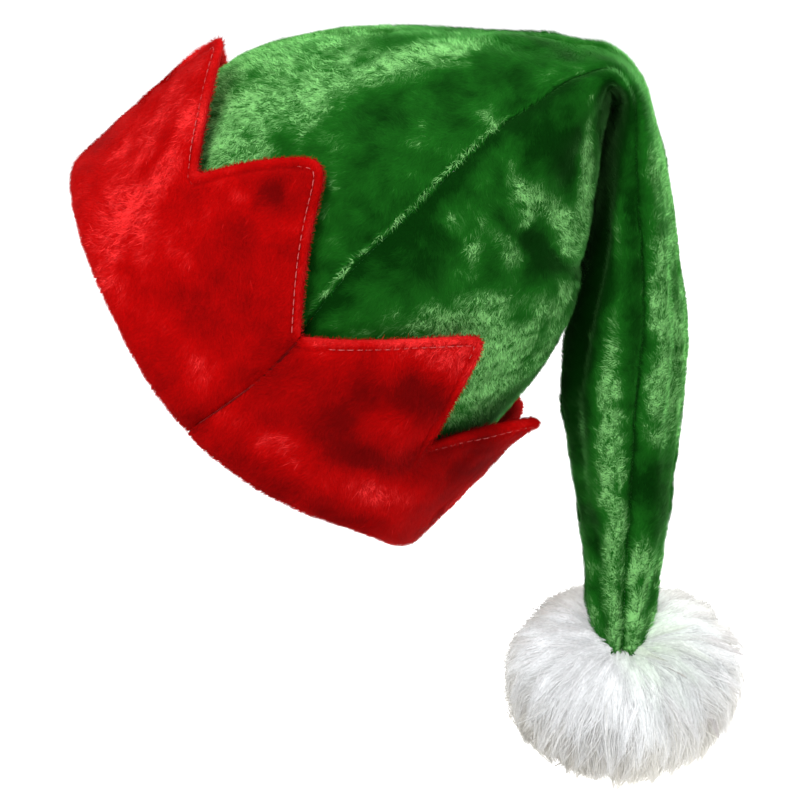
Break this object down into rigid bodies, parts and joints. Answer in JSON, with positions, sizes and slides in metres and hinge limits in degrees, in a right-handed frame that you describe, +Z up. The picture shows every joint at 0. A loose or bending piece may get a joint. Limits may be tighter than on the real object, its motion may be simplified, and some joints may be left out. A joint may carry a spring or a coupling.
{
  "type": "elf hat",
  "caption": "Soft plush elf hat with a zigzag cuff, a crown that folds over into a hanging tail and a fur pompom on its end.",
  "frame": {"origin": "centre of the head opening, where the hat sits on a head", "axes": "+Z up as worn, +X towards the back of the wearer's head, -Y towards the wearer's left side; the opening faces down and forward"},
  "size_m": [0.2878, 0.1901, 0.3348],
  "materials": {
    "green_plush": "short crushed plush pile",
    "red_plush": "short plush pile",
    "white_fur": "long soft artificial fur"
  },
  "bodies": {
    "root": {"front_panel": "green_plush", "back_panel": "green_plush", "front_cuff": "red_plush", "back_cuff": "red_plush", "pompom": "white_fur"}
  },
  "joints": []
}
